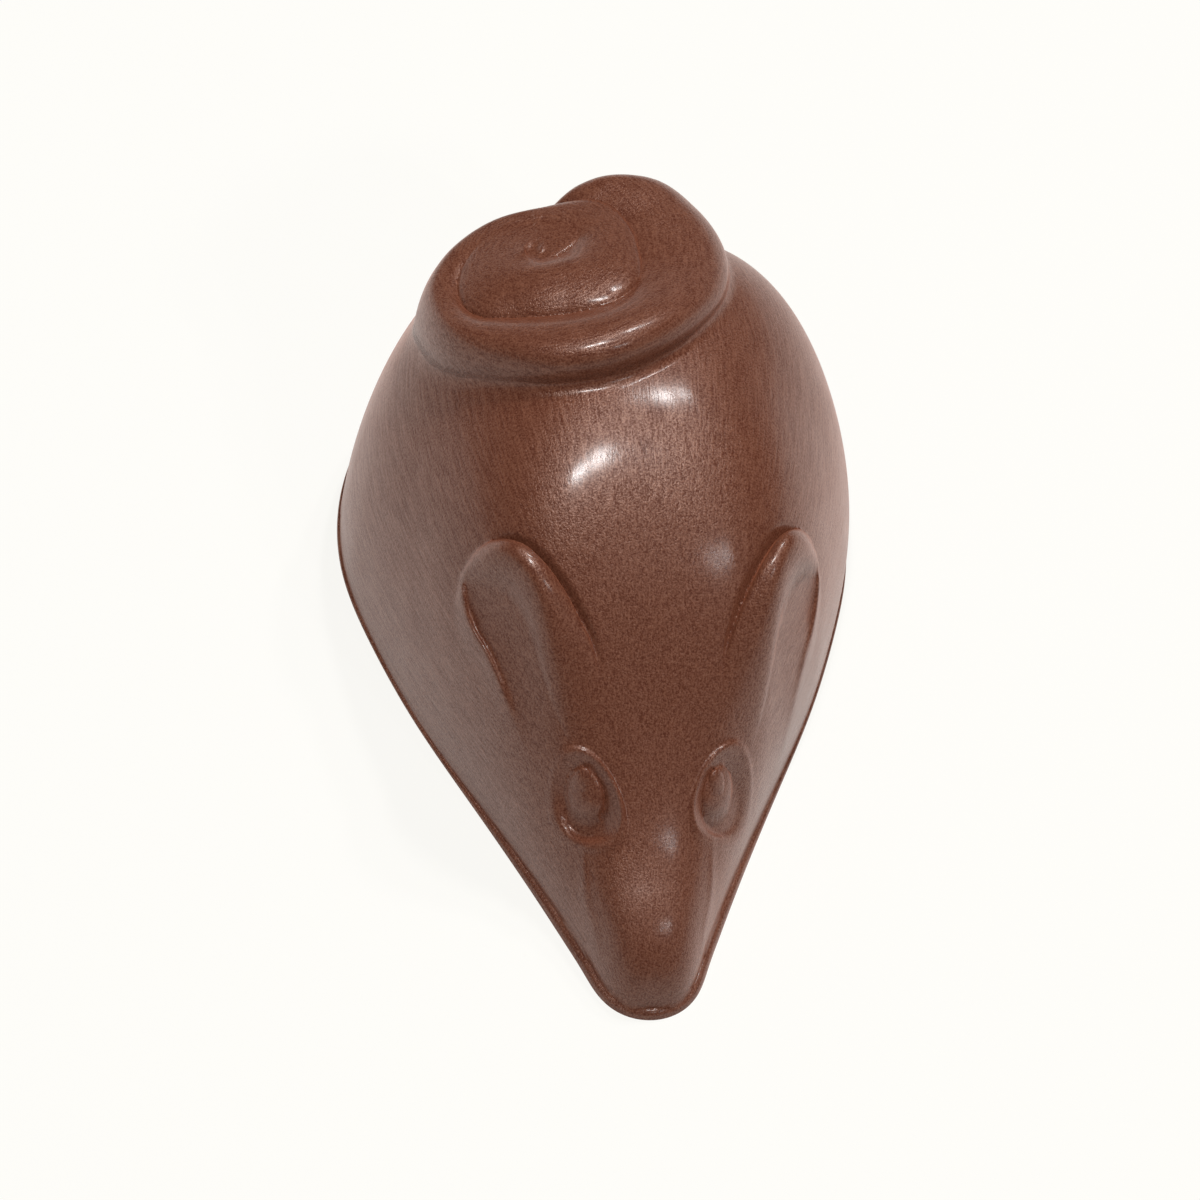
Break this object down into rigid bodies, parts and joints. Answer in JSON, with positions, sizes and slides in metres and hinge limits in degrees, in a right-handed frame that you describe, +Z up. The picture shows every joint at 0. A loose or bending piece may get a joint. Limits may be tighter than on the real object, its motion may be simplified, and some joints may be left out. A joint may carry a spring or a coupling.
{
  "type": "chocolate praline",
  "caption": "Moulded chocolate praline in the shape of a mouse, with a drop-shaped body, laid-back ears, sunken eyes and a tail coiled on the rump; lies on its flat underside.",
  "frame": {"origin": "centre of the flat underside, below the middle of the bounding box", "axes": "+Z up from the flat underside; +Y from the nose to the rump; +X to the side, to the right for a viewer who faces the rump from the nose end"},
  "size_m": [0.0284, 0.0448, 0.0227],
  "materials": {
    "chocolate": "milk chocolate set against a smooth mould, semi-gloss with a soft broad sheen"
  },
  "bodies": {
    "root": {"praline": "chocolate"}
  },
  "joints": []
}
